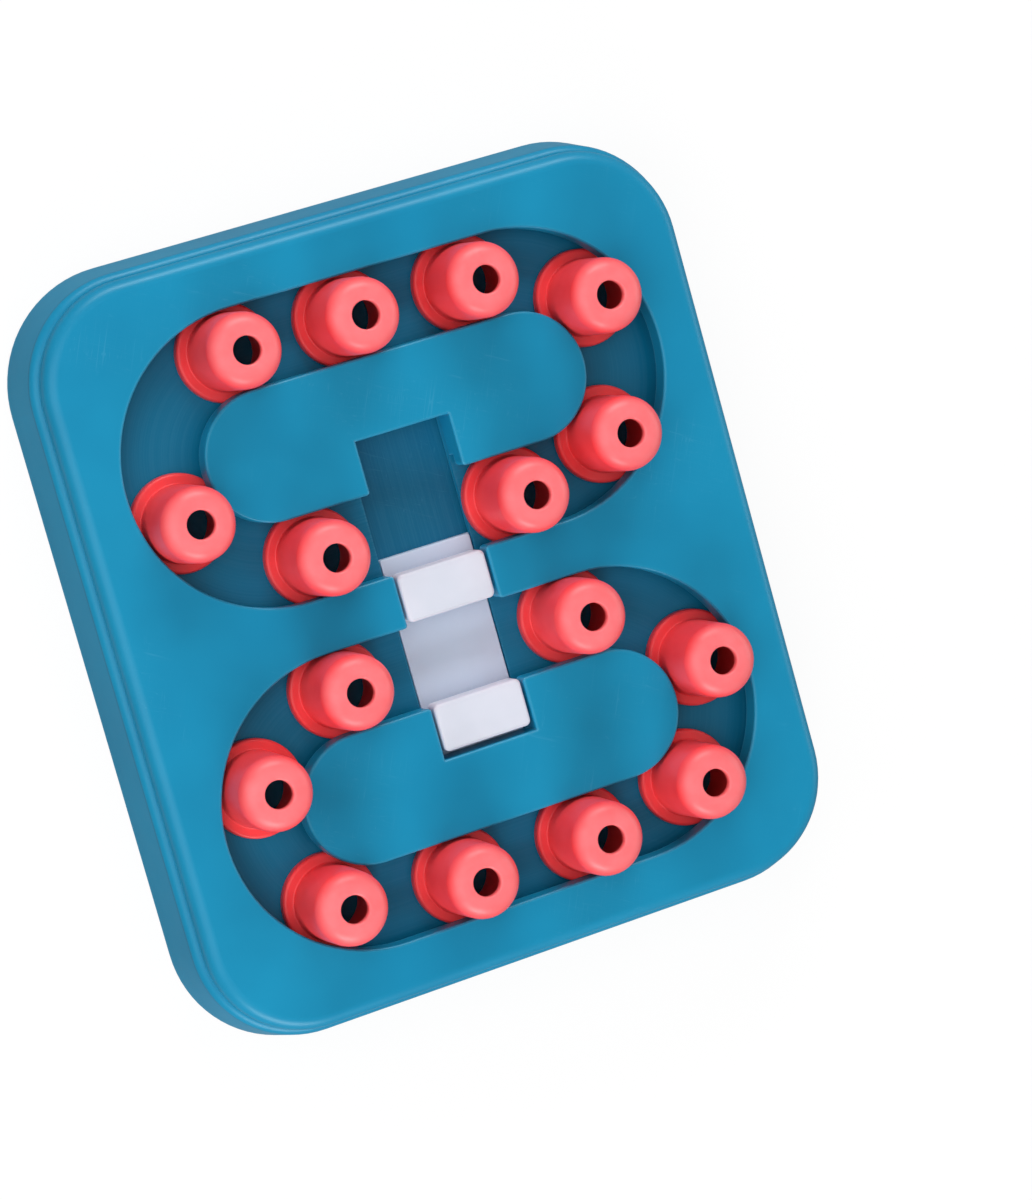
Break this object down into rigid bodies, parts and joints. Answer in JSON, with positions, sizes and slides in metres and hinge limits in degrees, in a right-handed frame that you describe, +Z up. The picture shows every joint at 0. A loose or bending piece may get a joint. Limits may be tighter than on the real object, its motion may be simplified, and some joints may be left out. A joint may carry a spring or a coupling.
{
  "type": "slow feeder puzzle board",
  "caption": "Sliding puzzle feeder board: hollow knobs slide round two undercut ring tracks and a shuttle slides across the divider between them.",
  "frame": {"origin": "standing surface under the middle of the board", "axes": "+Z up out of the board, +Y towards the rear ring track, +X to the right along the straight stretches"},
  "size_m": [0.236, 0.2652, 0.0511],
  "materials": {
    "teal_plastic": "satin moulded plastic",
    "deep_teal_plastic": "satin moulded plastic",
    "coral_plastic": "smooth satin plastic",
    "white_plastic": "smooth plastic",
    "steel": "zinc-plated screw steel",
    "black_rubber": "matt rubber"
  },
  "bodies": {
    "board": {"base_tray": "teal_plastic", "top_cover": "teal_plastic", "island_rear": "teal_plastic", "island_front": "teal_plastic", "shuttle_bed": "deep_teal_plastic", "cover_screws": "steel", "island_screws": "steel", "bed_screws": "steel", "rubber_feet": "black_rubber"},
    "shuttle": {"shuttle_plate": "white_plastic", "shuttle_cap_rear": "white_plastic", "shuttle_cap_front": "white_plastic", "cap_screws": "steel"},
    "knob_01": {"knob_01": "coral_plastic"},
    "knob_02": {"knob_02": "coral_plastic"},
    "knob_03": {"knob_03": "coral_plastic"},
    "knob_04": {"knob_04": "coral_plastic"},
    "knob_05": {"knob_05": "coral_plastic"},
    "knob_06": {"knob_06": "coral_plastic"},
    "knob_07": {"knob_07": "coral_plastic"},
    "knob_08": {"knob_08": "coral_plastic"},
    "knob_09": {"knob_09": "coral_plastic"},
    "knob_10": {"knob_10": "coral_plastic"},
    "knob_11": {"knob_11": "coral_plastic"},
    "knob_12": {"knob_12": "coral_plastic"},
    "knob_13": {"knob_13": "coral_plastic"},
    "knob_14": {"knob_14": "coral_plastic"},
    "knob_15": {"knob_15": "coral_plastic"},
    "knob_16": {"knob_16": "coral_plastic"}
  },
  "joints": [
    {"name": "shuttle_slide", "type": "slide", "parent": "board", "child": "shuttle", "axis": [0, 1, 0], "range_m": [0, 0.0442]},
    {"name": "knob_01_slide", "type": "slide", "parent": "board", "child": "knob_01", "axis": [-1, 0, 0], "range_m": [-0.0104, 0.0088]},
    {"name": "knob_02_slide", "type": "slide", "parent": "board", "child": "knob_02", "axis": [-1, 0, 0], "range_m": [-0.0088, 0.0073]},
    {"name": "knob_03_swing", "type": "hinge", "parent": "board", "child": "knob_03", "pos_m": [-0.046, 0.059, 0.0205], "axis": [0, 0, 1], "range_deg": [-11.5, 50.5]},
    {"name": "knob_04_swing", "type": "hinge", "parent": "board", "child": "knob_04", "pos_m": [-0.046, 0.059, 0.0205], "axis": [0, 0, 1], "range_deg": [-50.5, 23.5]},
    {"name": "knob_05_slide", "type": "slide", "parent": "board", "child": "knob_05", "axis": [1, 0, 0], "range_m": [-0.0093, 0.0376]},
    {"name": "knob_06_slide", "type": "slide", "parent": "board", "child": "knob_06", "axis": [1, 0, 0], "range_m": [-0.0376, 0.0047]},
    {"name": "knob_07_swing", "type": "hinge", "parent": "board", "child": "knob_07", "pos_m": [0.046, 0.059, 0.0205], "axis": [0, 0, 1], "range_deg": [-8, 23]},
    {"name": "knob_08_swing", "type": "hinge", "parent": "board", "child": "knob_08", "pos_m": [0.046, 0.059, 0.0205], "axis": [0, 0, 1], "range_deg": [-23, 17]},
    {"name": "knob_09_slide", "type": "slide", "parent": "board", "child": "knob_09", "axis": [-1, 0, 0], "range_m": [-0.0076, 0.05]},
    {"name": "knob_10_slide", "type": "slide", "parent": "board", "child": "knob_10", "axis": [-1, 0, 0], "range_m": [-0.05, 0.0046]},
    {"name": "knob_11_swing", "type": "hinge", "parent": "board", "child": "knob_11", "pos_m": [-0.046, -0.059, 0.0205], "axis": [0, 0, 1], "range_deg": [-15.5, 22.5]},
    {"name": "knob_12_swing", "type": "hinge", "parent": "board", "child": "knob_12", "pos_m": [-0.046, -0.059, 0.0205], "axis": [0, 0, 1], "range_deg": [-22.5, 19.5]},
    {"name": "knob_13_slide", "type": "slide", "parent": "board", "child": "knob_13", "axis": [1, 0, 0], "range_m": [-0.0119, 0.0113]},
    {"name": "knob_14_slide", "type": "slide", "parent": "board", "child": "knob_14", "axis": [1, 0, 0], "range_m": [-0.0113, 0.0074]},
    {"name": "knob_15_swing", "type": "hinge", "parent": "board", "child": "knob_15", "pos_m": [0.046, -0.059, 0.0205], "axis": [0, 0, 1], "range_deg": [-12.5, 12.5]},
    {"name": "knob_16_swing", "type": "hinge", "parent": "board", "child": "knob_16", "pos_m": [0.046, -0.059, 0.0205], "axis": [0, 0, 1], "range_deg": [-12.5, 28]}
  ]
}
